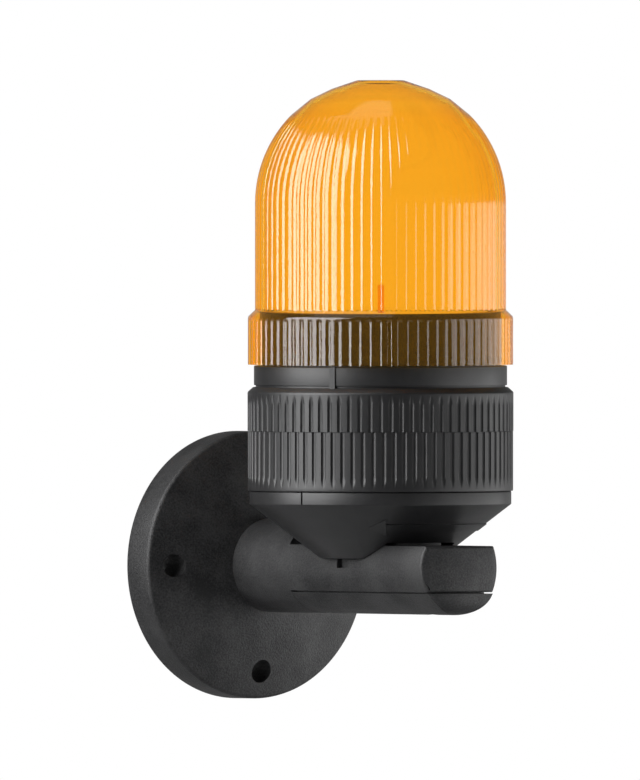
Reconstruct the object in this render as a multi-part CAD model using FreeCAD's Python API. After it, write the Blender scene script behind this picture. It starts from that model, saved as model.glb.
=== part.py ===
import FreeCAD, Part
import math
import os

from FreeCAD import Vector

# Wall bracket, millimetres. The origin is the centre of the plate's back face.
plate_d = 75.4
plate_rim = 10.3
plate_rise = 6.9
plate_wall = 3.0
rim_wall = 4.2
rim_round = 0.8
bolt_circle_d = 60.0
bolt_hole_d = 6.5
bolt_boss_d = 12.0
bolt_count = 4
rib_thick = 2.0
rib_setback = 1.5
arm_d = 26.5
arm_wall = 2.7
axis_reach = 70.5
end_radius = 40.6
end_wall = 3.0
end_round = 0.8
flat_height = 6.2
flat_wall = 2.6
flat_back = 27.7
split_depth = 6.8
split_gap = 0.8
arm_recess_width = 5.1
arm_recess_depth = 1.6
arm_recess_drop = 0.2
cover_round = 6.0
cover_head_depth = 1.0
tongue_thick = 1.3
tongue_height = 4.0
tongue_inset = 1.4
wall_seal_width = 1.8
wall_seal_depth = 1.6
grommet_length = 5.0
grommet_lip = 1.2
cable_d = 8.0

# Beacon body, stacked upwards from the arm.
body_d = 75.0
saddle_drop = 3.7
cone_relief = 0.9
foot_d = 34.0
cone_height = 15.3
band_height = 3.4
band_inset = 0.6
mark_width = 0.6
mark_depth = 0.6
mark_azimuth = -72.4
ring_height = 16.8
ring_wall = 3.2
ring_inset = 0.1
sounder_height = 11.7
sounder_chamfer_h = 0.9
sounder_chamfer_r = 1.6
sound_gap = 1.0
baffle_inset = 1.6
baffle_wall = 2.0
port_width = 4.0
port_count = 12
neck_height = 5.5
neck_inset = 1.8
neck_rib_width = 1.6
neck_rib_proud = 0.5
neck_rib_azimuth = -57.6
foot_wall = 2.6
floor_thick = 2.5
spigot_wall = 2.5
spigot_height = 8.8
seat_gap = 0.6
ledge_width = 2.2
module_step = 1.0

# Dome lens.
collar_inset = 0.1
collar_wall = 3.0
collar_height = 12.6
shoulder_height = 2.8
lens_d = 70.8
lens_wall = 2.2
straight_height = 30.1
cap_d = 50.2
cap_facets = ((39.4, 4.4), (27.4, 2.9), (13.2, 2.4))

# Flutes of the knurled rows, of the lens collar and of the ribbed dome.
flute_count = 80
flute_width = 1.44
flute_floor = 0.7
flute_depth = 0.45
flute_margin = 1.2
flute_run_out = 4.2
collar_run_out = 0.8
flute_fade = 0.1
ring_flute_start = 2.0
sounder_flute_start = 0.6
rib_groove_depth = 0.3
rib_margin = 0.6

# Bayonet fixings of the lens and of the locking ring.
lug_count = 3
lug_angle = 12.0
lug_height = 1.8
lug_proud = 1.5
lens_turn = 22.0
lens_lug_rise = 4.2
ring_turn = 25.0
ring_lug_rise = 2.6
bead_rise = 2.6
bead_height = 1.6
bead_proud = 1.2

# Inside pieces.
board_thick = 1.6
board_lift = 5.4
cover_thick = 2.0
deck_thick = 3.2
boss_d = 6.4
boss_gap = 0.6
skirt_height = 14.8
skirt_wall = 3.0
light_floor = 2.5
led_board_drop = 6.2
diffuser_thick = 1.5
diffuser_step = 0.6
piezo_d = 35.0
piezo_plate_thick = 0.3
piezo_ceramic_d = 25.0
piezo_ceramic_thick = 0.3
piezo_ledge = 1.2
piezo_chamber_h = 3.0
piezo_chamber_wall = 2.0
piezo_clamp_h = 1.8
piezo_clamp_play = 1.0
sound_hole_d = 10.0
led_size = 3.2
led_height = 1.3
led_ring_counts = (8, 4)
led_ring_radii = (15.0, 6.0)
terminal_length = 30.0
terminal_width = 13.0
terminal_height = 8.0
terminal_offset = 6.5
terminal_pitch = 5.0
terminal_poles = 5
terminal_screw_d = 3.4
terminal_floor = 1.0
terminal_step_width = 4.3
terminal_step_drop = 2.7
clamp_rise = 2.7
clamp_row = 2.2
clamp_slot_width = 0.7
clamp_slot_depth = 0.9
entry_height = 2.7
pin_row = 3.2
carrier_thick = 2.0
pin_d = 1.5
pin_reach = 5.0
solder_tail = 1.0
link_pitch = 2.54
link_count = 4
link_pin_d = 0.8
link_slot_play = 2.0
link_angle = 90.0
capacitor_d = 7.0
capacitor_height = 7.5
capacitor_angles = (30, 150, 210, 330)
chip_size = (9.0, 7.0, 1.6)
chip_offset = 9.0
foot_seal_thick = 0.8
foot_seal_width = 19.0
cable_hole_d = 11.0
seal_cord_d = 1.8
seal_play = 0.05
lens_seal_rise = 0.9
lens_seal_proud = 0.2

# Fasteners.
foot_screw_d = 4.0
foot_screw_head_d = 7.0
foot_screw_head_h = 2.6
foot_screw_spread = 13.0
foot_screw_length = 12.0
foot_boss_d = 8.0
screw_d = 2.9
screw_head_d = 5.4
screw_head_h = 2.0
cover_screw_back = 21.0
cover_screw_front = 26.0
screw_bite = 6.0
fixing_count = 3
tip_play = 1.0
boss_floor = 1.0

# Clearances: between pieces that turn, pieces that are seated, and screws in their holes.
turn_gap = 0.3
seat_fit = 0.12
screw_fit = 0.05
overlap = 0.5

# Heights of the stack above the arm's axis.
foot_z = flat_height - saddle_drop
band_z = foot_z + cone_height
band_top = band_z + band_height
ring_z = band_top + turn_gap
ring_top = ring_z + ring_height
sounder_z = ring_top + turn_gap
sounder_top = sounder_z + sounder_height
neck_z = sounder_top + sound_gap
neck_top = neck_z + neck_height
lens_z = neck_top + turn_gap
collar_top = lens_z + collar_height
shoulder_top = collar_top + shoulder_height
dome_z = shoulder_top + straight_height
floor_z = flat_height + foot_seal_thick
floor_top = floor_z + floor_thick
spigot_top = band_top + spigot_height
module_z = spigot_top + seat_gap
carrier_z = band_top - carrier_thick
carrier_top = band_top
terminal_top = carrier_top + terminal_height
cover_top = module_z + cover_thick
board_z = module_z + board_lift
board_top = board_z + board_thick
deck_z = sounder_top - deck_thick
piezo_z = deck_z - piezo_chamber_h
light_floor_top = neck_z + light_floor
skirt_top = neck_top + skirt_height
led_board_z = skirt_top - led_board_drop
led_board_top = led_board_z + board_thick
diffuser_z = skirt_top - diffuser_step - diffuser_thick

# Radii of the stack.
body_r = body_d / 2
band_r = body_r - band_inset
foot_r = foot_d / 2
cone_slope = (band_r - foot_r) / cone_height
ring_in_r = body_r - ring_wall
spigot_r = ring_in_r - turn_gap
spigot_in_r = spigot_r - spigot_wall
carrier_r = spigot_in_r - seat_fit
module_cover_r = spigot_in_r - seat_fit
module_in_r = spigot_in_r - module_step
board_r = module_in_r - turn_gap
ring_r = body_r - ring_inset
neck_r = body_r - neck_inset
collar_r = body_r - collar_inset
collar_in_r = collar_r - collar_wall
skirt_r = collar_in_r - turn_gap
skirt_in_r = skirt_r - skirt_wall
lens_groove_r = skirt_r - seal_cord_d + lens_seal_proud
diffuser_r = skirt_in_r - seat_fit
light_in_r = skirt_in_r - diffuser_step
led_board_r = light_in_r - turn_gap
lens_r = lens_d / 2
lens_in_r = lens_r - lens_wall
cap_r = cap_d / 2
plate_r = plate_d / 2
arm_r = arm_d / 2
arm_in_r = arm_r - arm_wall
boss_r = boss_d / 2
screw_r = screw_d / 2
screw_circle_r = module_in_r - boss_gap - boss_r
led_screw_r = screw_circle_r - boss_gap
ledge_r = spigot_in_r - ledge_width
carrier_screw_r = ledge_r - boss_r + boss_gap
flat_end_y = -(axis_reach - flat_back)
cover_screw_ys = (-axis_reach + cover_screw_back, -axis_reach - cover_screw_front)
foot_screw_ys = (-foot_screw_spread, foot_screw_spread)
ceiling_z = flat_height - flat_wall
foot_tip_z = floor_top - foot_screw_length
pin_y = terminal_offset + pin_row
clamp_y = terminal_offset - clamp_row
light_screw_turn = 180.0 / fixing_count

UP = Vector(0, 0, 1)
ORIGIN = Vector(0, 0, 0)


def rod(radius, low, high, x=0.0, y=0.0):
    """Upright cylinder between two heights."""
    return Part.makeCylinder(radius, high - low, Vector(x, y, low))


def ring(outer, inner, low, high):
    return rod(outer, low, high).cut(rod(inner, low, high))


def block(size_x, size_y, low, high, x=0.0, y=0.0):
    """Upright box centred on a point."""
    corner = Vector(x - size_x / 2, y - size_y / 2, low)
    return Part.makeBox(size_x, size_y, high - low, corner)


def turned(outline):
    """Solid of revolution about the upright axis from (radius, height) corners."""
    corners = [Vector(r, 0, z) for r, z in outline]
    face = Part.Face(Part.makePolygon(corners + corners[:1]))
    return face.revolve(ORIGIN, UP, 360)


def spun(shape, angle):
    copy = shape.copy()
    copy.rotate(ORIGIN, UP, angle)
    return copy


def around(shape, count, start=0.0):
    """Evenly spaced copies of a shape about the upright axis."""
    return [spun(shape, start + 360.0 * i / count) for i in range(count)]


def sector(outer, inner, low, high, start, sweep):
    """Part of a ring that starts at one angle and covers a sweep."""
    wedge = Part.makeCylinder(outer, high - low, Vector(0, 0, low), UP, sweep)
    return spun(wedge.cut(rod(inner, low, high)), start)


def polar(radius, angle):
    return radius * math.cos(math.radians(angle)), radius * math.sin(math.radians(angle))


def fixing_points(radius, turn=0.0):
    """Places of the evenly spaced screws on a circle."""
    return [polar(radius, turn + 360.0 * i / fixing_count) for i in range(fixing_count)]


def facing(shape, azimuth):
    """Turn a shape from +X to a side named by its azimuth, where 0 is away from the wall."""
    return spun(shape, azimuth - 90)


def out_of_wall(shape):
    """Lay a shape that was built upwards along the arm, away from the wall."""
    copy = shape.copy()
    copy.rotate(ORIGIN, Vector(1, 0, 0), 90)
    return copy


def screw(shank_d, head_d, head_h, tip, seat, x, y):
    """Screw with a round head on its seat and its shank down or up to its tip."""
    toward = 1 if seat > tip else -1
    low, high = sorted((tip, seat))
    head_low, head_high = sorted((seat, seat + toward * head_h))
    shank = rod(shank_d / 2, low, high, x, y)
    return shank.fuse(rod(head_d / 2, head_low, head_high, x, y)).removeSplitter()


def export(name, shapes, on_beacon=True):
    """Write one node; beacon pieces move from their own axis to the arm."""
    placed = []
    for shape in shapes:
        copy = shape.copy()
        if on_beacon:
            copy.translate(Vector(0, -axis_reach, 0))
        placed.append(copy)
    whole = placed[0] if len(placed) == 1 else Part.makeCompound(placed)
    whole.exportStep(os.path.join("parts", name + ".step"))


def flute_section(surface_r, depth, z):
    """Cross-section of a flute cutter: a flat floor between sides that open outwards."""
    flare = (flute_width - flute_floor) / 2 / flute_depth
    floor_x = surface_r - depth
    mouth_x = surface_r + overlap
    floor_half = flute_floor / 2
    mouth_half = floor_half + flare * (mouth_x - floor_x)
    corners = [Vector(floor_x, -floor_half, z), Vector(mouth_x, -mouth_half, z),
               Vector(mouth_x, mouth_half, z), Vector(floor_x, floor_half, z)]
    return Part.Face(Part.makePolygon(corners + corners[:1]))


def flute_tool(surface_r, low, high, run_out):
    """Cutter for one flute, which climbs out of the surface at its top or bottom, where it runs out."""
    full_end = high - run_out if run_out > 0 else low - run_out
    open_end = low if run_out > 0 else high
    section = flute_section(surface_r, flute_depth, full_end)
    straight = section.extrude(Vector(0, 0, open_end - full_end))
    return straight.fuse(section.extrude(Vector(flute_depth + flute_fade, 0, run_out)))


def bayonet_slots(floor_r, mouth_r, low, high, mouth_low, mouth_high, turn):
    """Cuts for the lugs: a level run for the turn and an upright mouth at its far end."""
    play = math.degrees(turn_gap / floor_r) * 2
    cuts = []
    for i in range(lug_count):
        middle = 360.0 * i / lug_count
        start = middle - turn - lug_angle / 2 - play
        cuts.append(sector(mouth_r, floor_r, low, high, start, turn + lug_angle + 2 * play))
        cuts.append(sector(mouth_r, floor_r, mouth_low, mouth_high, start, lug_angle + 2 * play))
    return cuts


def bayonet_lugs(wall_r, low):
    """Lugs that stand inwards from a round wall."""
    lug = sector(wall_r + overlap, wall_r - lug_proud, low, low + lug_height, -lug_angle / 2, lug_angle)
    return around(lug, lug_count)


def arm_end_waste():
    """Everything beyond the arm's end, which is rounded about the beacon axis."""
    span = 2 * plate_d
    beyond = Part.makeBox(span, span, span, Vector(-span / 2, -axis_reach - span, -span / 2))
    keep = Part.makeCylinder(end_radius, span, Vector(0, -axis_reach, -span / 2))
    return beyond.cut(keep)


def arm_slab(low, high):
    """Level slab that covers the outer stretch of the arm."""
    length = axis_reach * 2
    return Part.makeBox(plate_d, length, high - low, Vector(-plate_r, flat_end_y - length, low))


def end_edges(shape):
    """Edges of a piece that run around the arm's rounded end face."""
    found = []
    samples = 5
    match = 0.01
    for edge in shape.Edges:
        points = edge.discretize(samples)
        radii = [math.hypot(p.x, p.y + axis_reach) for p in points]
        on_end = all(abs(r - end_radius) < match for r in radii)
        if on_end and all(p.y < -axis_reach for p in points):
            found.append(edge)
    return found


def wall_bracket():
    """Moulded wall plate in one with the upper arm."""
    reach = axis_reach + end_radius
    rise = plate_rim + plate_rise
    solid = turned([(0, 0), (plate_r, 0), (plate_r, plate_rim - rim_round), (plate_r - rim_round, plate_rim),
                    (arm_r, rise), (arm_r, reach), (0, reach)])
    pocket_r = plate_r - rim_wall
    slope = plate_rise / (plate_r - arm_r)
    outer_floor = plate_rim + slope * rim_wall - plate_wall
    inner_floor = rise - plate_wall
    pocket = turned([(arm_r, -overlap), (pocket_r, -overlap), (pocket_r, outer_floor), (arm_r, inner_floor)])
    rib_length = pocket_r - arm_r + 2 * overlap
    rib = Part.makeBox(rib_length, rib_thick, rise, Vector(arm_r - overlap, -rib_thick / 2, rib_setback))
    boss = rod(bolt_boss_d / 2, 0, rise, bolt_circle_d / 2)
    pocket = pocket.cut(around(rib, 2 * bolt_count) + around(boss, bolt_count))
    seal_r = plate_r - (rim_wall - wall_seal_width) / 2
    seal_groove = ring(seal_r, seal_r - wall_seal_width, 0, wall_seal_depth)
    holes = around(rod(bolt_hole_d / 2, -overlap, rise, bolt_circle_d / 2), bolt_count)
    bore = rod(arm_in_r, -overlap, -flat_end_y)
    plate = out_of_wall(solid.cut([pocket, seal_groove, bore] + holes))

    channel = out_of_wall(rod(arm_in_r, -flat_end_y - overlap, reach))
    channel = channel.cut(arm_slab(ceiling_z, plate_r))
    channel = channel.common(arm_inside())
    above = arm_slab(flat_height, plate_r)
    below = arm_slab(-plate_r, -split_depth)
    shell = plate.cut([channel, above, below, arm_end_waste()])
    shell = shell.makeFillet(end_round, end_edges(shell))

    bosses = []
    pilots = [rod(cable_hole_d / 2, 0, plate_r, 0, -axis_reach)]
    for y in foot_screw_ys:
        hole_end = foot_tip_z - tip_play
        bosses.append(rod(foot_boss_d / 2, hole_end - boss_floor, flat_height, 0, -axis_reach + y))
        pilots.append(rod(foot_screw_d / 2 + screw_fit, hole_end, plate_r, 0, -axis_reach + y))
    for y in cover_screw_ys:
        bosses.append(rod(boss_r, cover_pad_z(), flat_height, 0, y))
        pilots.append(rod(screw_r + screw_fit, cover_pad_z(), cover_pad_z() + screw_bite, 0, y))
    recesses = [block(2 * arm_recess_depth, arm_recess_width, -arm_recess_drop, flat_height, x, -axis_reach)
                for x in (-arm_r, arm_r)]
    return shell.fuse(bosses).cut(pilots + recesses + [foot_clearance()]).removeSplitter()


def foot_clearance():
    """Relief in the top of the arm around the foot's cone."""
    grown = turned([(0, flat_height), (foot_cone_r(flat_height) + cone_relief, flat_height),
                    (band_r + cone_relief, band_z), (0, band_z)])
    grown.translate(Vector(0, -axis_reach, 0))
    return grown


def cover_pad_z():
    """Level where the arm cover's pads meet the bosses of the arm."""
    return -split_depth - split_gap / 2


def arm_inside():
    """Space behind the inner face of the arm's rounded end wall."""
    front = Part.makeCylinder(end_radius - end_wall, plate_d, Vector(0, -axis_reach, -plate_r))
    back = Part.makeBox(plate_d, axis_reach, plate_d, Vector(-plate_r, -axis_reach, -plate_r))
    return front.fuse(back)


def rounded_nose():
    """Space behind the cover's end, which is rounded about the beacon axis and at its lower edge."""
    high = Vector(end_radius, 0, cover_round - arm_r)
    low = Vector(end_radius - cover_round, 0, -arm_r)
    turn = cover_round * math.sqrt(0.5)
    bend = Vector(low.x + turn, 0, high.z - turn)
    corners = [low, Vector(0, 0, -arm_r), Vector(0, 0, arm_r), Vector(end_radius, 0, arm_r), high]
    sides = [Part.LineSegment(a, b).toShape() for a, b in zip(corners, corners[1:])]
    wire = Part.Wire(sides + [Part.Arc(high, bend, low).toShape()])
    nose = Part.Face(wire).revolve(ORIGIN, UP, 360)
    nose.translate(Vector(0, -axis_reach, 0))
    back = Part.makeBox(plate_d, axis_reach, plate_d, Vector(-plate_r, -axis_reach, -plate_r))
    return nose.fuse(back)


def arm_cover():
    """Trough that closes the arm from below."""
    reach = axis_reach + end_radius
    whole = out_of_wall(rod(arm_r, -flat_end_y + turn_gap, reach)).common(rounded_nose())
    trough = whole.common(arm_slab(-plate_r, -split_depth - split_gap))
    hollow = out_of_wall(rod(arm_in_r, -flat_end_y + turn_gap + end_wall, reach))
    trough = trough.cut(hollow.common(arm_inside()))
    added = []
    inner_half = math.sqrt(arm_in_r ** 2 - split_depth ** 2)
    for side in (-1, 1):
        x = side * (inner_half - tongue_inset)
        tongue_low = -math.sqrt(arm_r ** 2 - inner_half ** 2) + arm_wall / 2
        length = axis_reach * 2 - flat_back
        wall = block(tongue_thick, length, tongue_low, -split_depth - split_gap + tongue_height, x,
                     flat_end_y - end_wall - length / 2)
        added.append(wall.common(arm_inside()))
    cuts = []
    for y in cover_screw_ys:
        added.append(rod(boss_r, -arm_r + arm_wall / 2, cover_pad_z(), 0, y))
        cuts.append(rod(screw_r + turn_gap, -arm_r, cover_pad_z(), 0, y))
        cuts.append(rod(screw_head_d / 2 + turn_gap, -arm_r - overlap, cover_seat_z(), 0, y))
    return trough.fuse(added).cut(cuts).removeSplitter()


def cover_seat_z():
    """Level of the recess floor under each arm cover screw."""
    return -arm_r + screw_head_h + cover_head_depth


def cover_screws():
    tip = cover_pad_z() + screw_bite - tip_play
    return [screw(screw_d, screw_head_d, screw_head_h, tip, cover_seat_z(), 0, y) for y in cover_screw_ys]


def wall_seal():
    outer = plate_r - (rim_wall - wall_seal_width) / 2
    return out_of_wall(ring(outer, outer - wall_seal_width, 0, wall_seal_depth))


def cable_grommet():
    """Rubber bush in the mouth of the arm, where the cable leaves the wall."""
    bush = turned([(cable_d / 2, 0), (arm_in_r, 0), (arm_in_r, grommet_length),
                   (cable_d / 2 + grommet_lip, grommet_length), (cable_d / 2, grommet_length - grommet_lip)])
    return out_of_wall(bush)


def foot_cone_r(z, inset=0.0):
    """Radius of the foot's cone at a height, less an inset square to its wall."""
    return foot_r + cone_slope * (z - foot_z) - inset * math.hypot(1, cone_slope)


def base_foot():
    """Conical foot that straddles the arm and carries the locking ring on its spigot."""
    groove_low = ring_z + bead_rise - turn_gap
    groove_r = ring_in_r - bead_proud - turn_gap
    ledge_low = foot_z + (ledge_r + foot_wall * math.hypot(1, cone_slope) - foot_r) / cone_slope
    body = turned([(0, foot_z), (foot_r, foot_z), (band_r, band_z), (band_r, band_top),
                   (spigot_r, band_top), (spigot_r, groove_low), (groove_r, groove_low),
                   (groove_r, groove_low + bead_height + 2 * turn_gap),
                   (spigot_r, groove_low + bead_height + 2 * turn_gap), (spigot_r, spigot_top),
                   (spigot_in_r, spigot_top), (spigot_in_r, carrier_z), (ledge_r, carrier_z),
                   (ledge_r, ledge_low), (foot_cone_r(floor_top, foot_wall), floor_top), (0, floor_top)])
    saddle = Part.makeCylinder(arm_r + turn_gap, body_d, Vector(0, -body_r, 0), Vector(0, 1, 0))
    saddle = saddle.cut(block(body_d, body_d, floor_z, body_r))
    cuts = [saddle, rod(cable_hole_d / 2, 0, floor_top)]
    for y in foot_screw_ys:
        cuts.append(rod(foot_screw_d / 2 + turn_gap, 0, floor_top, 0, y))
    seal_mid = (spigot_r + spigot_in_r) / 2
    half = seal_cord_d / 2
    cuts.append(ring(seal_mid + half, seal_mid - half, spigot_top - (seal_cord_d - seat_gap), spigot_top))
    mark = block(2 * mark_depth, mark_width, band_z, band_top, band_r)
    cuts.append(facing(mark, mark_azimuth))
    bosses = []
    for x, y in fixing_points(carrier_screw_r):
        bosses.append(rod(boss_r, floor_top, carrier_z, x, y))
        cuts.append(rod(screw_r + screw_fit, carrier_z - screw_bite, carrier_z, x, y))
    outer_cone = turned([(0, foot_z), (foot_r, foot_z), (band_r, band_z), (0, band_z)])
    inside = [boss.common(outer_cone.fuse(rod(band_r, band_z, band_top))) for boss in bosses]
    return body.fuse(inside).cut(cuts).removeSplitter()


def foot_seal():
    length = 2 * foot_screw_spread
    pad = block(foot_seal_width, length, flat_height, floor_z)
    for y in foot_screw_ys:
        pad = pad.fuse(rod(foot_seal_width / 2, flat_height, floor_z, 0, y))
    holes = [rod(cable_hole_d / 2, 0, floor_z)]
    for y in foot_screw_ys:
        holes.append(rod(foot_screw_d / 2 + turn_gap, 0, floor_z, 0, y))
    return pad.cut(holes).removeSplitter()


def foot_screws():
    return [screw(foot_screw_d, foot_screw_head_d, foot_screw_head_h, foot_tip_z, floor_top, 0, y)
            for y in foot_screw_ys]


def pole_xs(count, pitch):
    return [(i - (count - 1) / 2) * pitch for i in range(count)]


def terminal_carrier():
    """Disc in the foot that carries the terminal block."""
    disc = rod(carrier_r, carrier_z, carrier_top)
    cuts = [rod(cable_hole_d / 2, carrier_z, carrier_top, 0, -terminal_width)]
    for x, y in fixing_points(carrier_screw_r):
        cuts.append(rod(screw_r + turn_gap, carrier_z, carrier_top, x, y))
    return disc.cut(cuts)


def carrier_screws():
    tip = carrier_z - screw_bite + tip_play
    return [screw(screw_d, screw_head_d, screw_head_h, tip, carrier_top, x, y)
            for x, y in fixing_points(carrier_screw_r)]


def terminal_block():
    """Screw terminals with a row of sockets for the pins of the sounder module."""
    body = block(terminal_length, terminal_width, carrier_top, terminal_top, 0, terminal_offset)
    front_y = terminal_offset - terminal_width / 2
    step = block(terminal_length, 2 * terminal_step_width, terminal_top - terminal_step_drop, terminal_top,
                 0, front_y)
    cuts = [step]
    floor = carrier_top + terminal_floor
    for x in pole_xs(terminal_poles, terminal_pitch):
        cuts.append(rod(pin_d / 2 + turn_gap, floor, terminal_top, x, pin_y))
        cuts.append(rod(terminal_screw_d / 2 + screw_fit, carrier_top + clamp_rise, terminal_top, x, clamp_y))
        cuts.append(block(terminal_screw_d, 2 * (clamp_y - front_y), floor, floor + entry_height, x, front_y))
    return body.cut(cuts)


def terminal_screws():
    """Grub screws of the terminals, each with a slot."""
    low = carrier_top + clamp_rise
    high = terminal_top - terminal_step_drop
    made = []
    for x in pole_xs(terminal_poles, terminal_pitch):
        body = rod(terminal_screw_d / 2, low, high, x, clamp_y)
        slot = block(terminal_screw_d, clamp_slot_width, high - clamp_slot_depth, high, x, clamp_y)
        made.append(body.cut(slot))
    return made


def contact_pins():
    """Pins that plug the sounder module into the terminal block."""
    return [rod(pin_d / 2, terminal_top - pin_reach, board_top + solder_tail, x, pin_y)
            for x in pole_xs(terminal_poles, terminal_pitch)]


def module_seal():
    """Square-cut ring in the top of the spigot."""
    middle = (spigot_r + spigot_in_r) / 2
    half = seal_cord_d / 2 - seal_play
    return ring(middle + half, middle - half, module_z - 2 * half, module_z)


def lock_ring():
    """Knurled bayonet ring that holds the sounder module down on the foot."""
    body = turned([(ring_in_r, ring_z), (ring_r, ring_z), (ring_r, ring_top),
                   (ring_in_r, ring_top), (ring_in_r, ring_z + bead_rise + bead_height),
                   (ring_in_r - bead_proud, ring_z + bead_rise + bead_height),
                   (ring_in_r - bead_proud, ring_z + bead_rise), (ring_in_r, ring_z + bead_rise)])
    body = body.fuse(bayonet_lugs(ring_in_r, module_z + ring_lug_rise))
    tool = flute_tool(ring_r, ring_z + flute_margin, ring_top + overlap, -flute_run_out)
    return body.cut(around(tool, flute_count, ring_flute_start)).removeSplitter()


def sounder_housing():
    """Knurled upper body with the sounder's deck, chamber and bosses."""
    chamfer_low = sounder_top - sounder_chamfer_h
    chamber_r = piezo_d / 2 + seat_fit
    body = turned([(spigot_in_r, module_z), (spigot_r, module_z), (spigot_r, sounder_z), (body_r, sounder_z),
                   (body_r, chamfer_low), (body_r - sounder_chamfer_r, sounder_top), (0, sounder_top),
                   (0, deck_z), (module_in_r, deck_z), (module_in_r, cover_top), (spigot_in_r, cover_top)])
    added = [rod(chamber_r + piezo_chamber_wall, piezo_z - piezo_clamp_h, deck_z)]
    cuts = [rod(chamber_r, piezo_z - piezo_clamp_h, piezo_z), rod(sound_hole_d / 2, piezo_z, sounder_top),
            rod(chamber_r - piezo_ledge, piezo_z - piezo_clamp_h, deck_z)]
    for x, y in fixing_points(screw_circle_r):
        added.append(rod(boss_r, board_top, deck_z, x, y))
        cuts.append(rod(screw_r + screw_fit, board_top, deck_z + tip_play, x, y))
    for x, y in fixing_points(screw_circle_r, light_screw_turn):
        added.append(rod(boss_r, sounder_top, neck_z, x, y))
        cuts.append(rod(screw_r + turn_gap, deck_z, neck_z, x, y))
    cuts.append(link_slot(deck_z, sounder_top))
    cuts += bayonet_slots(ring_in_r - lug_proud - turn_gap, ring_in_r, module_z + ring_lug_rise - turn_gap,
                          module_z + ring_lug_rise + lug_height + turn_gap,
                          module_z, module_z + ring_lug_rise + lug_height, ring_turn)
    tool = flute_tool(body_r, sounder_z - overlap, chamfer_low - flute_margin / 2, flute_run_out)
    flutes = around(tool, flute_count, sounder_flute_start)
    return body.fuse(added).cut(cuts).cut(flutes).removeSplitter()


def link_slot(low, high):
    """Opening for the pins that join the two boards."""
    width = link_pin_d + link_slot_play
    slot = block(width, link_count * link_pitch + link_slot_play, low, high, screw_circle_r)
    return spun(slot, link_angle)


def link_pins():
    made = []
    for y in pole_xs(link_count, link_pitch):
        pin = rod(link_pin_d / 2, board_z - solder_tail, led_board_top + solder_tail, screw_circle_r, y)
        made.append(spun(pin, link_angle))
    return made


def module_cover():
    """Disc that closes the sounder module from below, with posts under the board."""
    disc = rod(module_cover_r, module_z, cover_top)
    posts = []
    cuts = []
    for x, y in fixing_points(screw_circle_r):
        posts.append(rod(boss_r, module_z, board_z, x, y))
        cuts.append(rod(screw_r + turn_gap, module_z, board_z, x, y))
        cuts.append(rod(screw_head_d / 2 + turn_gap, module_z, module_z + screw_head_h, x, y))
    for x in pole_xs(terminal_poles, terminal_pitch):
        cuts.append(rod(pin_d / 2 + turn_gap, module_z, cover_top, x, pin_y))
    return disc.fuse(posts).cut(cuts).removeSplitter()


def module_screws():
    """Long screws from the cover through the board into the deck's bosses."""
    seat = module_z + screw_head_h
    return [screw(screw_d, screw_head_d, screw_head_h, deck_z, seat, x, y)
            for x, y in fixing_points(screw_circle_r)]


def control_board():
    disc = rod(board_r, board_z, board_top)
    cuts = [rod(screw_r + turn_gap, board_z, board_top, x, y) for x, y in fixing_points(screw_circle_r)]
    for x in pole_xs(terminal_poles, terminal_pitch):
        cuts.append(rod(pin_d / 2 + screw_fit, board_z, board_top, x, pin_y))
    for y in pole_xs(link_count, link_pitch):
        hole = rod(link_pin_d / 2 + screw_fit, board_z, board_top, screw_circle_r, y)
        cuts.append(spun(hole, link_angle))
    return disc.cut(cuts)


def capacitors():
    return [rod(capacitor_d / 2, board_top, board_top + capacitor_height, *polar(screw_circle_r, angle))
            for angle in capacitor_angles]


def driver_chips():
    size_x, size_y, height = chip_size
    return [block(size_x, size_y, board_top, board_top + height, x, -chip_offset)
            for x in (-size_x, size_x)]


def piezo_plate():
    return rod(piezo_d / 2, piezo_z - piezo_plate_thick, piezo_z)


def piezo_ceramic():
    top = piezo_z - piezo_plate_thick
    return rod(piezo_ceramic_d / 2, top - piezo_ceramic_thick, top)


def piezo_clamp():
    top = piezo_z - piezo_plate_thick
    return ring(piezo_d / 2, piezo_ceramic_d / 2 + piezo_clamp_play, piezo_z - piezo_clamp_h, top)


def light_base():
    """Neck and inner skirt that carry the lens, with the posts of the light board."""
    groove_low = neck_top + lens_seal_rise
    groove_high = groove_low + seal_cord_d
    body = turned([(0, neck_z), (neck_r, neck_z), (neck_r, neck_top), (skirt_r, neck_top),
                   (skirt_r, groove_low), (lens_groove_r, groove_low), (lens_groove_r, groove_high),
                   (skirt_r, groove_high),
                   (skirt_r, skirt_top), (skirt_in_r, skirt_top), (skirt_in_r, diffuser_z),
                   (light_in_r, diffuser_z), (light_in_r, light_floor_top), (0, light_floor_top)])
    rib = block(2 * neck_rib_proud, neck_rib_width, neck_z - sound_gap + turn_gap, neck_top, neck_r)
    added = [facing(rib, neck_rib_azimuth)]
    baffle_r = neck_r - baffle_inset
    baffle = ring(baffle_r, baffle_r - baffle_wall, sounder_top, neck_z)
    port = block(2 * body_r, port_width, sounder_top - overlap, neck_z + overlap, body_r)
    added.append(baffle.cut(around(port, port_count)))
    cuts = [link_slot(neck_z, light_floor_top)]
    for x, y in fixing_points(led_screw_r):
        added.append(rod(boss_r, neck_z, led_board_z, x, y))
        cuts.append(rod(screw_r + screw_fit, led_board_z - screw_bite, led_board_z, x, y))
    boss_top = light_floor_top + screw_bite
    for x, y in fixing_points(screw_circle_r, light_screw_turn):
        added.append(rod(boss_r, neck_z, boss_top, x, y))
        cuts.append(rod(screw_r + screw_fit, neck_z, boss_top - boss_floor, x, y))
    lug_z = lens_z + lens_lug_rise
    cuts += bayonet_slots(collar_in_r - lug_proud - turn_gap, collar_in_r, lug_z - turn_gap,
                          lug_z + lug_height + turn_gap, lug_z, skirt_top + overlap, lens_turn)
    return body.fuse(added).cut(cuts)


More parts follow.
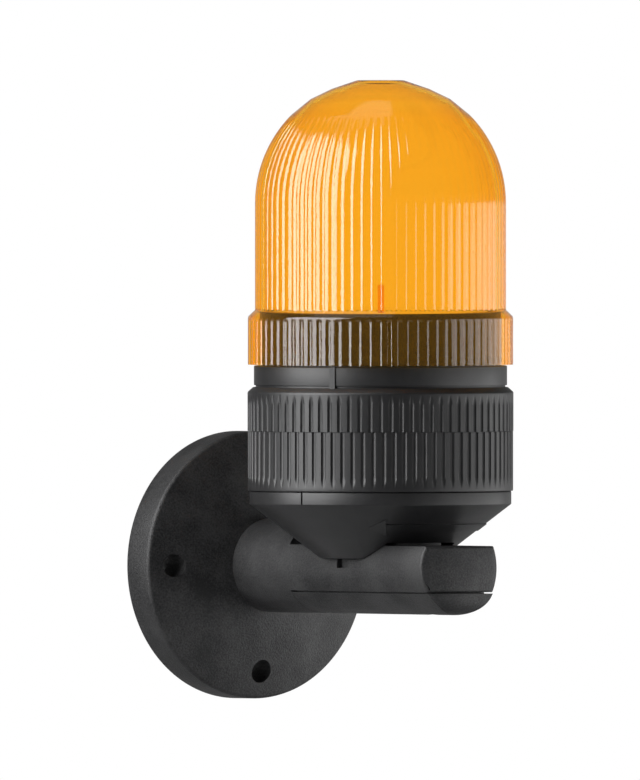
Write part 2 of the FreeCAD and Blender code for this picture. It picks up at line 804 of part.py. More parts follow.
def light_screws():
    """Screws from under the deck into the light base."""
    tip = light_floor_top + screw_bite - boss_floor - tip_play
    return [screw(screw_d, screw_head_d, screw_head_h, tip, deck_z, x, y)
            for x, y in fixing_points(screw_circle_r, light_screw_turn)]


def lens_seal():
    """Square-cut ring in the groove round the skirt."""
    half = seal_cord_d / 2 - seal_play
    middle = neck_top + lens_seal_rise + seal_cord_d / 2
    return ring(lens_groove_r + 2 * half, lens_groove_r, middle - half, middle + half)


def led_board():
    disc = rod(led_board_r, led_board_z, led_board_top)
    cuts = []
    for x, y in fixing_points(led_screw_r):
        cuts.append(rod(screw_r + turn_gap, led_board_z, led_board_top, x, y))
    for y in pole_xs(link_count, link_pitch):
        hole = rod(link_pin_d / 2 + screw_fit, led_board_z, led_board_top, screw_circle_r, y)
        cuts.append(spun(hole, link_angle))
    return disc.cut(cuts)


def led_board_screws():
    tip = led_board_z - screw_bite + tip_play
    return [screw(screw_d, screw_head_d, screw_head_h, tip, led_board_top, x, y)
            for x, y in fixing_points(led_screw_r)]


def leds():
    """Light emitting diodes in two rings on their board."""
    made = []
    for count, radius in zip(led_ring_counts, led_ring_radii):
        body = block(led_size, led_size, led_board_top, led_board_top + led_height, radius)
        made += around(body, count)
    return made


def diffuser_disc():
    return rod(diffuser_r, diffuser_z, diffuser_z + diffuser_thick)


def dome_outline(shell_r, cap_edge_r, facets, top_inset):
    """Edges of the dome from its straight wall to its flat top, in the upright plane."""
    edge_z = dome_z + math.sqrt(shell_r ** 2 - cap_edge_r ** 2)
    middle = (math.pi / 2 + math.asin(cap_edge_r / shell_r)) / 2
    on_arc = Vector(shell_r * math.sin(middle), 0, dome_z + shell_r * math.cos(middle))
    edges = [Part.Arc(Vector(shell_r, 0, dome_z), on_arc, Vector(cap_edge_r, 0, edge_z)).toShape()]
    last = Vector(cap_edge_r, 0, edge_z)
    for diameter, rise in facets:
        corner = Vector(diameter / 2 - top_inset, 0, last.z + rise)
        edges.append(Part.LineSegment(last, corner).toShape())
        last = corner
    edges.append(Part.LineSegment(last, Vector(0, 0, last.z)).toShape())
    return edges, last.z


def dome_lens():
    """Amber dome with ribs along its meridians, a faceted cap and a fluted bayonet collar."""
    outer, outer_top = dome_outline(lens_r, cap_r, cap_facets, 0)
    shrink = lens_in_r / lens_r
    inner, inner_top = dome_outline(lens_in_r, cap_r * shrink, cap_facets, lens_wall)
    step_z = skirt_top + turn_gap
    below = [Vector(lens_in_r, 0, dome_z), Vector(lens_in_r, 0, step_z), Vector(collar_in_r, 0, step_z),
             Vector(collar_in_r, 0, lens_z), Vector(collar_r, 0, lens_z), Vector(collar_r, 0, collar_top),
             Vector(lens_r + turn_gap, 0, shoulder_top), Vector(lens_r, 0, shoulder_top),
             Vector(lens_r, 0, dome_z)]
    sides = [Part.LineSegment(a, b).toShape() for a, b in zip(below, below[1:])]
    axis = Part.LineSegment(Vector(0, 0, inner_top), Vector(0, 0, outer_top)).toShape()
    wire = Part.Wire(Part.__sortEdges__(outer + inner + sides + [axis]))
    body = Part.Face(wire).revolve(ORIGIN, UP, 360)
    body = body.fuse(bayonet_lugs(collar_in_r, lens_z + lens_lug_rise))

    flute = flute_tool(collar_r, lens_z - overlap, collar_top - flute_margin + collar_run_out, collar_run_out)
    section = flute_section(lens_r, rib_groove_depth, dome_z)
    upright = section.extrude(Vector(0, 0, shoulder_top + turn_gap - dome_z))
    sweep = math.degrees(math.acos(cap_r / lens_r) - rib_margin / lens_r)
    bent = section.revolve(Vector(0, 0, dome_z), Vector(0, -1, 0), sweep)
    groove = upright.fuse(bent)
    return body.cut(around(flute, flute_count) + around(groove, flute_count))


os.makedirs("parts", exist_ok=True)
export("wall_bracket", [wall_bracket()], on_beacon=False)
export("arm_cover", [arm_cover()], on_beacon=False)
export("cover_screws", cover_screws(), on_beacon=False)
export("wall_seal", [wall_seal()], on_beacon=False)
export("cable_grommet", [cable_grommet()], on_beacon=False)
export("foot_seal", [foot_seal()])
export("base_foot", [base_foot()])
export("foot_screws", foot_screws())
export("terminal_carrier", [terminal_carrier()])
export("carrier_screws", carrier_screws())
export("terminal_block", [terminal_block()])
export("terminal_screws", terminal_screws())
export("contact_pins", contact_pins())
export("module_seal", [module_seal()])
export("lock_ring", [lock_ring()])
export("sounder_housing", [sounder_housing()])
export("module_cover", [module_cover()])
export("module_screws", module_screws())
export("control_board", [control_board()])
export("capacitors", capacitors())
export("driver_chips", driver_chips())
export("piezo_plate", [piezo_plate()])
export("piezo_ceramic", [piezo_ceramic()])
export("piezo_clamp", [piezo_clamp()])
export("link_pins", link_pins())
export("light_base", [light_base()])
export("light_screws", light_screws())
export("lens_seal", [lens_seal()])
export("led_board", [led_board()])
export("led_board_screws", led_board_screws())
export("leds", leds())
export("diffuser_disc", [diffuser_disc()])
export("dome_lens", [dome_lens()])
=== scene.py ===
import math

import bmesh
import bpy
from mathutils import Matrix, Vector


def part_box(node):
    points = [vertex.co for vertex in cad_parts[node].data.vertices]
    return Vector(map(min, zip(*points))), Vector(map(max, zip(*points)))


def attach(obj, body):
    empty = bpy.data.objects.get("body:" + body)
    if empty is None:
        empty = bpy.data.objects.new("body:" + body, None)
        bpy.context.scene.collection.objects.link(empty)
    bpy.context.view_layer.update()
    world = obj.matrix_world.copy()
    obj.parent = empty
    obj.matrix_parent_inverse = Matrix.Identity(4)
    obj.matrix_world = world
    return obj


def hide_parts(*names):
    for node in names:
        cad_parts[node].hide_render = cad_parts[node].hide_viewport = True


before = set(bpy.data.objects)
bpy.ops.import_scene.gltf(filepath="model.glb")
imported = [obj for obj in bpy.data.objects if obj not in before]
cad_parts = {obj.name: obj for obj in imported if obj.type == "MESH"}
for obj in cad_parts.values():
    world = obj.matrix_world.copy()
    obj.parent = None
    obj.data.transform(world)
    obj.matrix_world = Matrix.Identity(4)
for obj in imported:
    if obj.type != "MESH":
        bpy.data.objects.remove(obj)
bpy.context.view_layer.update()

# Wall bracket: a round wall plate with four screw holes, in one piece with the upper shell of the arm.
# It is injection moulded in black glass-filled plastic with a coarse eroded grain, ribbed behind the plate,
# and the arm's end is rounded about the upright axis of the beacon.
MM = 0.001
TOUCH = 0.001 * MM
plate_low, plate_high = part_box("wall_bracket")
plate_r = plate_high.x
arm_reach = -plate_low.y
end_radius = 40.6 * MM
beacon_y = -(arm_reach - end_radius)
plate_rim = 10.3 * MM
plate_rise = 6.9 * MM
plate_wall = 3.0 * MM
rim_wall = 4.2 * MM
rim_round = 1.0 * MM
back_round = 0.4 * MM
seal_width = 1.8 * MM
seal_depth = 1.6 * MM
bolt_r = 3.25 * MM
bolt_boss_r = 6.0 * MM
bolt_circle_r = 30.0 * MM
bolt_count = 4
rib_thick = 2.0 * MM
rib_setback = 1.5 * MM
arm_r = 13.25 * MM
arm_in_r = 10.55 * MM
end_wall = 3.0 * MM
end_round = 0.8 * MM
flat_height = 6.2 * MM
flat_wall = 2.6 * MM
flat_start = -42.8 * MM
split_level = -6.8 * MM
notch_width = 5.1 * MM
notch_depth = 1.6 * MM
notch_drop = 0.2 * MM
past = 0.5 * MM
near_edge = 0.1 * MM
flat_angle = math.radians(0.3)
sharp_angle = math.radians(35)
smooth_angle = math.radians(30)


def out_of_wall(radius, distance):
    """Point beside the plate's axis, which runs straight out of the wall."""
    return Vector((radius, -distance, 0))


def up_the_beacon(radius, height):
    """Point beside the beacon's upright axis."""
    return Vector((radius, beacon_y, height))


def select_only(piece):
    bpy.ops.object.select_all(action="DESELECT")
    piece.select_set(True)
    bpy.context.view_layer.objects.active = piece


def edit(piece):
    select_only(piece)
    bpy.ops.object.mode_set(mode="EDIT")


def select_vertices(piece, wanted):
    """Select just the vertices whose place is wanted."""
    bpy.ops.mesh.select_mode(type="VERT")
    bpy.ops.mesh.select_all(action="DESELECT")
    for vertex in bmesh.from_edit_mesh(piece.data).verts:
        if wanted(vertex.co):
            vertex.select_set(True)
    bmesh.update_edit_mesh(piece.data)


def start(name, add, **sizes):
    """Add a primitive at its size and place, as the start of a piece or of a cutter."""
    bpy.ops.object.select_all(action="DESELECT")
    add(**sizes)
    piece = bpy.context.object
    piece.name = name
    bpy.ops.object.transform_apply(location=True, rotation=True, scale=True)
    return piece


def rod(name, radius, low, high, x=0.0, y=0.0, sides=96):
    """Upright cylinder between two heights."""
    return start(name, bpy.ops.mesh.primitive_cylinder_add, vertices=sides, radius=radius, depth=high - low,
                 location=(x, y, (low + high) / 2))


def level_rod(name, radius, near, far, sides=96, x=0.0, z=0.0):
    """Cylinder that lies along the arm between two distances from the wall."""
    return start(name, bpy.ops.mesh.primitive_cylinder_add, vertices=sides, radius=radius, depth=far - near,
                 location=(x, -(near + far) / 2, z), rotation=(math.pi / 2, 0, 0))


def box(name, low, high):
    """Block between two opposite corners."""
    low, high = Vector(low), Vector(high)
    return start(name, bpy.ops.mesh.primitive_cube_add, size=1, location=(low + high) / 2, scale=high - low)


def slab(name, low, high, rear=0.0):
    """Block as wide as the plate between two heights, from a place along the arm out past its end."""
    return box(name, (-plate_r, -2 * arm_reach, low), (plate_r, rear, high))


def close_mesh():
    """Merge what touches in the mesh that is being edited, turn its faces outwards and leave it."""
    bpy.ops.mesh.select_all(action="SELECT")
    bpy.ops.mesh.remove_doubles(threshold=TOUCH)
    bpy.ops.mesh.normals_make_consistent(inside=False)
    bpy.ops.object.mode_set(mode="OBJECT")


def lathe(name, outline, along, steps=192, sweep=math.tau, segments=4):
    """Turn an outline of (radius, distance) corners about an axis. A third number rounds its corner."""
    corners = [along(*corner[:2]) for corner in outline]
    piece = start(name, bpy.ops.mesh.primitive_plane_add, size=MM, location=corners[0])
    edit(piece)
    bpy.ops.mesh.select_all(action="SELECT")
    bpy.ops.mesh.merge(type="CENTER")
    for last, corner in zip(corners, corners[1:]):
        bpy.ops.mesh.extrude_vertices_move(TRANSFORM_OT_translate={"value": corner - last})
    bpy.ops.mesh.select_all(action="SELECT")
    bpy.ops.mesh.remove_doubles(threshold=TOUCH)
    for corner, place in zip(outline, corners):
        if len(corner) > 2:
            select_vertices(piece, lambda spot: (spot - place).length < TOUCH)
            bpy.ops.mesh.bevel(offset=corner[2], segments=segments, affect="VERTICES")
    bpy.ops.mesh.select_all(action="SELECT")
    bpy.ops.mesh.spin(steps=steps, angle=sweep, center=along(0, 0), axis=along(0, 1) - along(0, 0))
    close_mesh()
    return piece


def repeat_round(piece, count, along):
    """Copy all of a mesh evenly round an axis."""
    edit(piece)
    bpy.ops.mesh.select_all(action="SELECT")
    bpy.ops.mesh.spin(steps=count - 1, dupli=True, angle=math.tau * (count - 1) / count,
                      center=along(0, 0), axis=along(0, 1) - along(0, 0))
    bpy.ops.object.mode_set(mode="OBJECT")
    return piece


def carve(piece, tool, how="DIFFERENCE"):
    """Cut a piece with a tool, or clip it to the tool, or join the two, and take the tool away.
    The cut is made at millimetre scale and left in triangles, which keeps the next cuts closed."""
    for mesh in (piece.data, tool.data):
        mesh.transform(Matrix.Scale(1 / MM, 4))
    cut = piece.modifiers.new("cut", "BOOLEAN")
    cut.operation = how
    cut.solver = "EXACT"
    cut.object = tool
    select_only(piece)
    bpy.ops.object.modifier_apply(modifier=cut.name)
    bpy.data.objects.remove(tool)
    piece.data.transform(Matrix.Scale(MM, 4))
    edit(piece)
    bpy.ops.mesh.select_all(action="SELECT")
    bpy.ops.mesh.remove_doubles(threshold=TOUCH)
    bpy.ops.mesh.dissolve_degenerate(threshold=TOUCH)
    bpy.ops.mesh.quads_convert_to_tris()
    bpy.ops.object.mode_set(mode="OBJECT")


def round_edges(piece, width, wanted, segments=3):
    """Round the sharp edges of a piece that lie in a wanted place."""
    edit(piece)
    bpy.ops.mesh.select_all(action="SELECT")
    bpy.ops.mesh.dissolve_limited(angle_limit=flat_angle)
    bpy.ops.mesh.select_mode(type="EDGE")
    bpy.ops.mesh.select_all(action="DESELECT")
    for edge in bmesh.from_edit_mesh(piece.data).edges:
        if edge.is_manifold and edge.calc_face_angle() > sharp_angle:
            if all(wanted(vertex.co) for vertex in edge.verts):
                edge.select_set(True)
    bmesh.update_edit_mesh(piece.data)
    bpy.ops.mesh.bevel(offset=width, segments=segments, affect="EDGES")
    bpy.ops.mesh.select_mode(type="VERT")
    bpy.ops.object.mode_set(mode="OBJECT")


def arm_bounds(name, radius, sides):
    """Everything behind a round end wall: a cylinder on the beacon axis, stretched back past the wall."""
    bounds = rod(name, radius, -2 * plate_r, 2 * plate_r, 0, beacon_y, sides)
    edit(bounds)
    select_vertices(bounds, lambda spot: spot.y > beacon_y + TOUCH)
    bpy.ops.transform.translate(value=(0, arm_reach, 0))
    bpy.ops.object.mode_set(mode="OBJECT")
    return bounds


def add_node(tree, kind, sockets=None, **settings):
    """Add a shader node with its settings and the values of its sockets."""
    node = tree.nodes.new(kind)
    for name, value in settings.items():
        setattr(node, name, value)
    for socket, value in (sockets or {}).items():
        node.inputs[socket].default_value = value
    return node


def moulded_grain():
    """Relief and shade of a moulded surface, as a node group that each finish places with its own scale."""
    cell_share = 0.5
    cloud_scale = 0.04
    group = bpy.data.node_groups.new("moulded_grain", "ShaderNodeTree")
    group.interface.new_socket("Vector", in_out="INPUT", socket_type="NodeSocketVector")
    group.interface.new_socket("Scale", in_out="INPUT", socket_type="NodeSocketFloat")
    group.interface.new_socket("Height", in_out="OUTPUT", socket_type="NodeSocketFloat")
    group.interface.new_socket("Shade", in_out="OUTPUT", socket_type="NodeSocketFloat")
    enter = add_node(group, "NodeGroupInput")
    leave = add_node(group, "NodeGroupOutput")
    pits = add_node(group, "ShaderNodeTexNoise", {"Detail": 3.0, "Roughness": 0.6})
    cells = add_node(group, "ShaderNodeTexVoronoi", feature="SMOOTH_F1")
    blend = add_node(group, "ShaderNodeMath", {1: cell_share}, operation="MULTIPLY_ADD")
    wide = add_node(group, "ShaderNodeMath", {1: cloud_scale}, operation="MULTIPLY")
    clouds = add_node(group, "ShaderNodeTexNoise", {"Detail": 4.0})
    speckle = add_node(group, "ShaderNodeMix", {"Factor": 0.5})
    links = group.links
    for texture in (pits, cells, clouds):
        links.new(enter.outputs["Vector"], texture.inputs["Vector"])
    links.new(enter.outputs["Scale"], pits.inputs["Scale"])
    links.new(enter.outputs["Scale"], cells.inputs["Scale"])
    links.new(enter.outputs["Scale"], wide.inputs[0])
    links.new(wide.outputs[0], clouds.inputs["Scale"])
    links.new(cells.outputs["Distance"], blend.inputs[0])
    links.new(pits.outputs["Fac"], blend.inputs[2])
    links.new(blend.outputs[0], leave.inputs["Height"])
    links.new(clouds.outputs["Fac"], speckle.inputs["A"])
    links.new(pits.outputs["Fac"], speckle.inputs["B"])
    links.new(speckle.outputs["Result"], leave.inputs["Shade"])
    return group


grain_group = moulded_grain()


def new_material(name):
    """Material with its node tree and its shader."""
    material = bpy.data.materials.new(name)
    material.use_nodes = True
    return material, material.node_tree, material.node_tree.nodes["Principled BSDF"]


def lay_grain(tree, shader, grain, depth, roughness, lowest):
    """Lay the moulded grain over a shader, as relief and as a range of roughness."""
    place = add_node(tree, "ShaderNodeTexCoord")
    texture = add_node(tree, "ShaderNodeGroup", {"Scale": 1 / grain}, node_tree=grain_group)
    rough = add_node(tree, "ShaderNodeMapRange",
                     {"From Min": lowest, "To Min": roughness[0], "To Max": roughness[1]})
    relief = add_node(tree, "ShaderNodeBump", {"Strength": 1.0, "Distance": depth})
    tree.links.new(place.outputs["Object"], texture.inputs["Vector"])
    tree.links.new(texture.outputs["Height"], rough.inputs["Value"])
    tree.links.new(rough.outputs["Result"], shader.inputs["Roughness"])
    tree.links.new(texture.outputs["Height"], relief.inputs["Height"])
    tree.links.new(relief.outputs["Normal"], shader.inputs["Normal"])
    return texture, relief


def finish(name, dark, light, roughness, grain, depth, metallic=0.0, specular=0.5):
    """Solid surface whose colour, roughness and relief follow a grain of a given size and depth."""
    spread = 0.07
    smoothest = 0.02
    lowest = 0.3
    shade_span = (0.4, 0.6)
    material, tree, shader = new_material(name)
    shader.inputs["Metallic"].default_value = metallic
    shader.inputs["Specular IOR Level"].default_value = specular
    span = (max(roughness - spread, smoothest), roughness + spread)
    texture = lay_grain(tree, shader, grain, depth, span, lowest)[0]
    colour = add_node(tree, "ShaderNodeValToRGB")
    for stop, position, shade in zip(colour.color_ramp.elements, shade_span, (dark, light)):
        stop.position = position
        stop.color = (*shade, 1)
    tree.links.new(texture.outputs["Shade"], colour.inputs["Fac"])
    tree.links.new(colour.outputs["Color"], shader.inputs["Base Color"])
    return material


def fit(piece, material, body, slot, *nodes):
    """Finish a piece: smooth its round faces, give it its material and let it stand for its CAD nodes."""
    select_only(piece)
    bpy.ops.object.shade_smooth_by_angle(angle=smooth_angle)
    piece.data.materials.clear()
    piece.data.materials.append(material)
    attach(piece, body)
    if nodes:
        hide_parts(*nodes)


bracket_black = finish("bracket_black", (0.009, 0.009, 0.010), (0.037, 0.037, 0.038), 0.5, 0.5 * MM,
                       0.1 * MM, specular=0.24)
plate_top = plate_rim + plate_rise
seal_out_r = plate_r - (rim_wall - seal_width) / 2
seal_in_r = seal_out_r - seal_width
bracket = lathe("wall_bracket_shell", [
    (0, 0), (seal_in_r, 0), (seal_in_r, seal_depth), (seal_out_r, seal_depth), (seal_out_r, 0),
    (plate_r, 0, back_round), (plate_r, plate_rim, rim_round), (arm_r, plate_top),
    (arm_r, arm_reach + past), (0, arm_reach + past)], out_of_wall)

pocket_r = plate_r - rim_wall
plate_slope = plate_rise / (plate_r - arm_r)
pocket = lathe("plate_pocket", [
    (arm_r, -past), (pocket_r, -past), (pocket_r, plate_rim + plate_slope * rim_wall - plate_wall),
    (arm_r, plate_top - plate_wall), (arm_r, -past)], out_of_wall)
ribs = box("plate_ribs", (arm_r - past, -plate_top, -rib_thick / 2),
           (pocket_r + past, -rib_setback, rib_thick / 2))
carve(pocket, repeat_round(ribs, 2 * bolt_count, out_of_wall))
bosses = level_rod("bolt_bosses", bolt_boss_r, 0, plate_top, sides=48, x=bolt_circle_r)
carve(pocket, repeat_round(bosses, bolt_count, out_of_wall))
bolt_holes = level_rod("bolt_holes", bolt_r, -past, plate_top, sides=48, x=bolt_circle_r)
carve(bracket, repeat_round(bolt_holes, bolt_count, out_of_wall))
carve(bracket, level_rod("arm_bore", arm_in_r, -past, -flat_start))
carve(bracket, pocket)

channel = level_rod("arm_channel", arm_in_r, -flat_start - past, arm_reach)
carve(channel, slab("channel_top", flat_height - flat_wall, plate_r))
carve(channel, arm_bounds("channel_end", end_radius - end_wall, 96), "INTERSECT")
carve(bracket, channel)
carve(bracket, slab("arm_flat", flat_height, plate_r, flat_start))
carve(bracket, slab("arm_split", -plate_r, split_level, flat_start))
carve(bracket, arm_bounds("arm_end", end_radius, 72), "INTERSECT")
for side in (-arm_r, arm_r):
    carve(bracket, box("foot_notch", (side - notch_depth, beacon_y - notch_width / 2, -notch_drop),
                       (side + notch_depth, beacon_y + notch_width / 2, flat_height + past)))

foot_z = 2.5 * MM
foot_r = 17.0 * MM
band_z = 17.8 * MM
band_r = 36.9 * MM
cone_slope = (band_r - foot_r) / (band_z - foot_z)
cone_relief = 0.9 * MM


def cone_r(height):
    """Radius of the foot's cone at a height."""
    return foot_r + cone_slope * (height - foot_z)


carve(bracket, lathe("cone_room", [
    (0, flat_height), (cone_r(flat_height) + cone_relief, flat_height), (band_r + cone_relief, band_z),
    (0, band_z)], up_the_beacon))
round_edges(bracket, end_round, lambda spot: math.hypot(spot.x, spot.y - beacon_y) > end_radius - near_edge
            and spot.y < beacon_y, segments=4)
fit(bracket, bracket_black, "housing", "bracket_black", "wall_bracket")

# Wall seal: a flat ring of black rubber, pressed into the groove round the back of the plate.
# Its face is level with the plate, with two fine lips that close against the wall.
lip = 0.25 * MM
seal_rubber = finish("seal_rubber", (0.012, 0.012, 0.012), (0.022, 0.022, 0.022), 0.7, 0.3 * MM, 0.02 * MM)
seal_mid_r = (seal_in_r + seal_out_r) / 2
wall_seal = lathe("wall_seal_ring", [
    (seal_in_r + TOUCH, seal_depth), (seal_in_r + TOUCH, lip), (seal_in_r + lip, 0),
    (seal_in_r + 2 * lip, 0), (seal_mid_r, lip), (seal_out_r - 2 * lip, 0), (seal_out_r - lip, 0),
    (seal_out_r - TOUCH, lip), (seal_out_r - TOUCH, seal_depth), (seal_in_r + TOUCH, seal_depth)],
    out_of_wall)
fit(wall_seal, seal_rubber, "housing", "seal_rubber", "wall_seal")

# Cable grommet: a soft rubber bush in the mouth of the arm, where the cable comes out of the wall.
# It is moulded with two ring folds in its face, so that its hole can give, and it is pushed in.
grommet_length = 5.0 * MM
cable_r = 4.0 * MM
fold = 0.8 * MM
fold_round = 0.3 * MM
rim_edge_round = 0.2 * MM
grommet_r = arm_in_r - TOUCH
grommet = lathe("cable_grommet_bush", [
    (cable_r, fold, fold_round), (cable_r + 2 * fold, 0, fold_round),
    (cable_r + 3.5 * fold, fold, fold_round), (arm_in_r - 2.5 * fold, fold, fold_round),
    (arm_in_r - fold, 0, fold_round), (grommet_r, 0, rim_edge_round),
    (grommet_r, grommet_length, fold_round), (cable_r + fold, grommet_length, fold_round),
    (cable_r, grommet_length - fold, fold_round), (cable_r, fold)], out_of_wall, steps=128)
fit(grommet, seal_rubber, "housing", "seal_rubber", "cable_grommet")

# Arm cover: the trough that closes the arm from below, in the same grained black plastic as the bracket.
# A tongue along its edge reaches up into the arm behind the parting line, and two screws hold it.
cover_top = -7.2 * MM
cover_rear = flat_start - 0.1 * MM
nose_round = 4.8 * MM
nose_step = 6
tongue_half = 7.3 * MM
tongue_top = -4.6 * MM
lap_half = 9.2 * MM
lap_r = 38.6 * MM
lap_play = 0.05 * MM
hollow_r = 9.2 * MM
hollow_setback = 1.0 * MM
post_floor = 1.2 * MM
screw_r = 1.45 * MM
head_r = 2.7 * MM
head_play = 0.3 * MM
head_seat = -10.25 * MM
cover_screw_ys = (beacon_y + 21.0 * MM, beacon_y - 26.0 * MM)

cover = level_rod("arm_cover_trough", arm_r, -cover_rear, arm_reach + past, 192)
carve(cover, slab("cover_above", cover_top, plate_r))
nose_turns = [math.radians(turn) for turn in range(0, 91, nose_step)]
nose_arc = [(end_radius - nose_round + nose_round * math.sin(turn),
             nose_round - arm_r - nose_round * math.cos(turn)) for turn in nose_turns]
carve(cover, lathe("cover_nose", [(0, -arm_r - past), (end_radius - nose_round, -arm_r - past)] + nose_arc
                   + [(end_radius, 0), (0, 0)], up_the_beacon), "INTERSECT")
tongue = box("cover_tongue", (-tongue_half, -arm_reach + end_wall + past, cover_top - past),
             (tongue_half, cover_rear - end_wall, tongue_top))
carve(tongue, arm_bounds("tongue_end", end_radius - end_wall - 2 * past, 96), "INTERSECT")
carve(cover, tongue, "UNION")
lap = box("cover_lap", (-lap_half, -arm_reach, cover_top - past),
          (lap_half, cover_rear, split_level - lap_play))
carve(lap, arm_bounds("lap_end", lap_r, 96), "INTERSECT")
carve(cover, lap, "UNION")
hollow = level_rod("cover_hollow", hollow_r, -cover_rear + end_wall + hollow_setback, arm_reach)
carve(hollow, arm_bounds("hollow_end", end_radius - end_wall - hollow_setback - 2 * past, 96), "INTERSECT")
carve(cover, hollow)
for spot_y in cover_screw_ys:
    post = rod("cover_post", head_r + 2 * head_play, -arm_r + post_floor, cover_top, y=spot_y, sides=48)
    carve(cover, post, "UNION")
    recess = rod("head_recess", head_r + head_play, -arm_r - past, head_seat, y=spot_y, sides=48)
    carve(cover, recess)
    shank_hole = rod("shank_hole", screw_r + head_play, head_seat - past, cover_top + past, y=spot_y,
                     sides=32)
    carve(cover, shank_hole)
fit(cover, bracket_black, "housing", "bracket_black", "arm_cover")

# Cover screws: two pan-head steel screws with cross recesses, driven up from below.
# They are cold headed and zinc plated, and they bite into bosses inside the arm.
screw_low, screw_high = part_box("cover_screws")
recess_arm = 0.7 * MM
recess_half = 1.7 * MM
recess_depth = 1.3 * MM
recess_taper = 0.6
crown_share = 0.55
crown_rise = 0.7 * MM
crown_round = 0.3 * MM
head_round = 0.4 * MM
seat_round = 0.1 * MM
screw_steel = finish("screw_steel", (0.42, 0.42, 0.43), (0.55, 0.55, 0.55), 0.32, 0.15 * MM, 0.004 * MM,
                     metallic=1.0)


def pan_head_screw(name, y):
    """Screw that points up, with a domed head below its seat and a cross recess in the head."""
    def beside_screw(radius, height):
        return Vector((radius, y, height))

    made = lathe(name, [
        (0, screw_low.z), (head_r * crown_share, screw_low.z, crown_round),
        (head_r, screw_low.z + crown_rise, head_round), (head_r, head_seat, seat_round),
        (screw_r, head_seat), (screw_r, screw_high.z - screw_r), (0, screw_high.z)], beside_screw, steps=64)
    for half_x, half_y in ((recess_half, recess_arm / 2), (recess_arm / 2, recess_half)):
        slot = box("recess_slot", (-half_x, y - half_y, screw_low.z - past),
                   (half_x, y + half_y, screw_low.z + recess_depth))
        edit(slot)
        select_vertices(slot, lambda spot: spot.z > screw_low.z)
        bpy.ops.transform.resize(value=(recess_taper, recess_taper, 1), center_override=(0, y, 0))
        bpy.ops.object.mode_set(mode="OBJECT")
        carve(made, slot)
    return made


cover_screws = pan_head_screw("cover_screw_pair", cover_screw_ys[0])
second_screw = pan_head_screw("cover_screw_front", cover_screw_ys[1])
select_only(cover_screws)
second_screw.select_set(True)
bpy.ops.object.join()
fit(cover_screws, screw_steel, "housing", "screw_steel", "cover_screws")

# Foot seal: a flat rubber pad between the arm and the foot, with holes for the cable and the two screws.
# It is die cut from sheet, and the foot's screws squeeze it.
def paint(material, *names):
    """Give CAD nodes that stay as they are their finish."""
    for name in names:
        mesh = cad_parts[name].data
        mesh.materials.clear()
        mesh.materials.append(material)


paint(seal_rubber, "foot_seal")

# Base foot: a hollow cone that sits astride the arm on its rubber pad and ends in a plain band with a slot.
# It is moulded in smoother black plastic. A raised arrow on the cone shows which way the ring is turned.
foot_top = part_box("base_foot")[1].z
band_top = 21.4 * MM
spigot_r = 34.0 * MM
spigot_in_r = 31.5 * MM
foot_wall = 2.6 * MM
floor_z = 7.0 * MM
floor_top = 9.5 * MM
saddle_r = arm_r + 0.3 * MM
lobe_round = 0.5 * MM
fine_round = 0.2 * MM
edge_round = 0.3 * MM
funnel_setback = 1.0 * MM
slot_setback = 0.1 * MM
mark_width = 0.6 * MM
mark_azimuth = -72.4
arrow_tip_azimuth = -42.3
arrow_barb_azimuth = -32.2
arrow_tail_azimuth = 58.0
arrow_z = 11.4 * MM
arrow_head_height = 4.6 * MM
arrow_shaft_height = 1.9 * MM
arrow_proud = 0.3 * MM
housing_black = finish("housing_black", (0.010, 0.010, 0.011), (0.016, 0.016, 0.017), 0.42, 0.25 * MM,
                       0.012 * MM, specular=0.36)


def side_angle(azimuth):
    """Angle in plan of a side named by its azimuth, where 0 is away from the wall."""
    return math.radians(azimuth - 90)


def beacon_side(azimuth):
    """Outline plane of the beacon on one side."""
    turn = side_angle(azimuth)

    def along(radius, height):
        return Vector((radius * math.cos(turn), beacon_y + radius * math.sin(turn), height))

    return along


def side_box(name, azimuth, radius_low, radius_high, width, low, high):
    """Upright block on one side of the beacon."""
    middle = beacon_side(azimuth)((radius_low + radius_high) / 2, (low + high) / 2)
    return start(name, bpy.ops.mesh.primitive_cube_add, size=1, location=middle,
                 rotation=(0, 0, side_angle(azimuth)), scale=(radius_high - radius_low, width, high - low))


foot = lathe("base_foot_cone", [
    (0, foot_z), (foot_r, foot_z, lobe_round), (band_r, band_z, fine_round), (band_r, band_top, edge_round),
    (spigot_r, band_top), (spigot_r, foot_top), (spigot_in_r, foot_top),
    (spigot_in_r, band_z + funnel_setback), (cone_r(floor_top) - foot_wall, floor_top), (0, floor_top)],
    up_the_beacon, steps=256)
saddle = level_rod("foot_saddle", saddle_r, -beacon_y - band_r, -beacon_y + band_r, sides=192)
carve(saddle, slab("saddle_top", floor_z, plate_r))
carve(foot, saddle)
carve(foot, side_box("band_slot", mark_azimuth, band_r - mark_width, band_r + mark_width, mark_width,
                     band_z + slot_setback, band_top + past))

cone_tilt = math.hypot(1, cone_slope)


def off_cone(height, lift):
    """Corner of an outline that stands a little off the cone's face."""
    return cone_r(height) + lift / cone_tilt, height - lift * cone_slope / cone_tilt


shaft_low = arrow_z - arrow_shaft_height / 2
shaft_high = arrow_z + arrow_shaft_height / 2
shaft_sweep = arrow_tail_azimuth - arrow_barb_azimuth
shaft_section = [off_cone(shaft_low, -past), off_cone(shaft_low, arrow_proud),
                 off_cone(shaft_high, arrow_proud), off_cone(shaft_high, -past), off_cone(shaft_low, -past)]
shaft = lathe("arrow_shaft", shaft_section, beacon_side(arrow_barb_azimuth), 64, -math.radians(shaft_sweep))
edit(shaft)
bpy.ops.mesh.select_all(action="SELECT")
bpy.ops.mesh.fill_holes(sides=8)
close_mesh()
carve(foot, shaft, "UNION")

